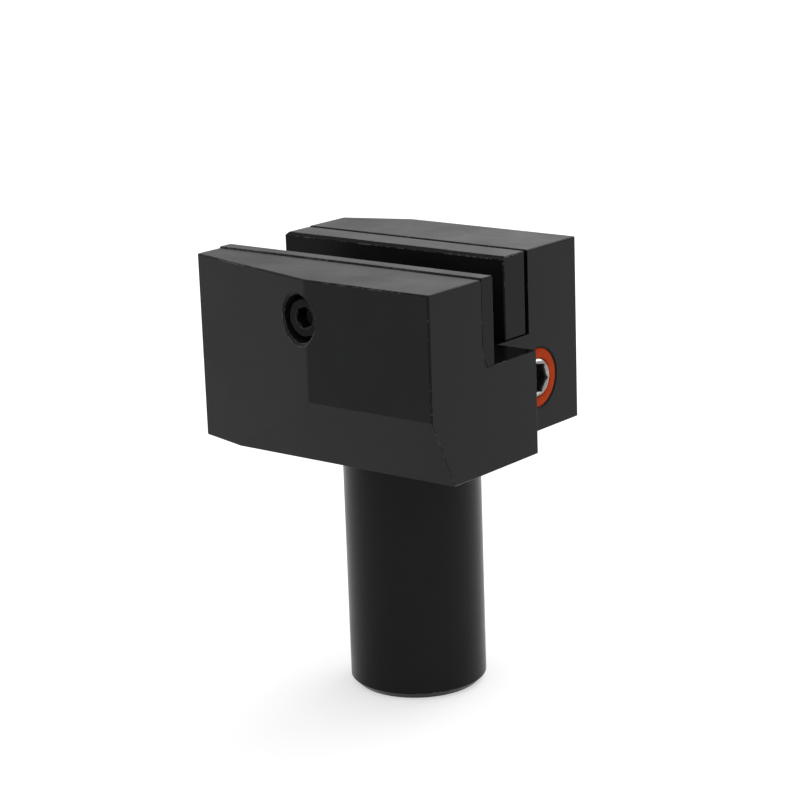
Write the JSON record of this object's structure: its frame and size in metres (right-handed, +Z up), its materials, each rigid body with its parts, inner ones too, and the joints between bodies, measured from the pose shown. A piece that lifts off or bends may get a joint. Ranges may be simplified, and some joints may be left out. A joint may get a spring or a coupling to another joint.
{
  "type": "turret tool holder",
  "caption": "Quick change tool holder: block on a round rack shank, with an open slot that clamps a square tool shank, and a swivelling coolant nozzle.",
  "frame": {"origin": "on the round shank's axis, at the flange face that seats on the turret", "axes": "+Z up from the flange through the block, +X along the tool slot towards the tool's tip, +Y towards the clamp screws at the back"},
  "size_m": [0.07, 0.0645, 0.0973],
  "materials": {
    "block_steel": "black oxide over a milled and ground surface, satin",
    "plate_steel": "black oxide over a ground surface, satin",
    "screw_steel": "black oxide, slightly oily",
    "spring_steel": "drawn wire, bright",
    "ball_steel": "turned and polished, bright",
    "ring_plastic": "moulded, matte",
    "seal_rubber": "matte"
  },
  "bodies": {
    "holder": {"holder_body": "block_steel", "support_plate": "plate_steel", "support_plate_screw": "screw_steel", "support_screw_washer": "screw_steel", "return_spring_1": "spring_steel", "return_spring_2": "spring_steel", "nozzle_retaining_ring": "ring_plastic", "nozzle_inner_seal": "seal_rubber", "gallery_plug": "screw_steel", "cross_gallery_plug": "screw_steel", "inlet_plug": "screw_steel", "inlet_seal_ring": "seal_rubber", "flange_seal_ring": "seal_rubber"},
    "clamp_plate": {"clamp_plate": "plate_steel", "pull_screw_1": "screw_steel", "pull_screw_2": "screw_steel"},
    "clamp_screw_1": {"clamp_screw_1": "screw_steel"},
    "clamp_screw_2": {"clamp_screw_2": "screw_steel"},
    "clamp_screw_3": {"clamp_screw_3": "screw_steel"},
    "nozzle_ball": {"nozzle_ball": "ball_steel"}
  },
  "joints": [
    {"name": "clamp_slide", "type": "slide", "parent": "holder", "child": "clamp_plate", "axis": [0, -1, 0], "range_m": [-0.0009, 0.0045], "deforming": ["return_spring_1", "return_spring_2"]},
    {"name": "clamp_screw_1_turn", "type": "hinge", "parent": "clamp_plate", "child": "clamp_screw_1", "pos_m": [-0.027, 0.014, 0.031], "axis": [0, -1, 0], "range_deg": [-220, 1085]},
    {"name": "clamp_screw_2_turn", "type": "hinge", "parent": "clamp_plate", "child": "clamp_screw_2", "pos_m": [-0.005, 0.014, 0.031], "axis": [0, -1, 0], "range_deg": [-220, 1085]},
    {"name": "clamp_screw_3_turn", "type": "hinge", "parent": "clamp_plate", "child": "clamp_screw_3", "pos_m": [0.017, 0.014, 0.031], "axis": [0, -1, 0], "range_deg": [-220, 1085]},
    {"name": "nozzle_swivel", "type": "hinge", "parent": "holder", "child": "nozzle_ball", "pos_m": [0.0211, 0.0129, 0.0117], "axis": [0, 0, 1], "range_deg": [-15, 15]}
  ],
  "couplings": [
    {"joint": "clamp_screw_1_turn", "follows": "clamp_slide", "rad_per_m": 4188.8},
    {"joint": "clamp_screw_2_turn", "follows": "clamp_slide", "rad_per_m": 4188.8},
    {"joint": "clamp_screw_3_turn", "follows": "clamp_slide", "rad_per_m": 4188.8}
  ]
}
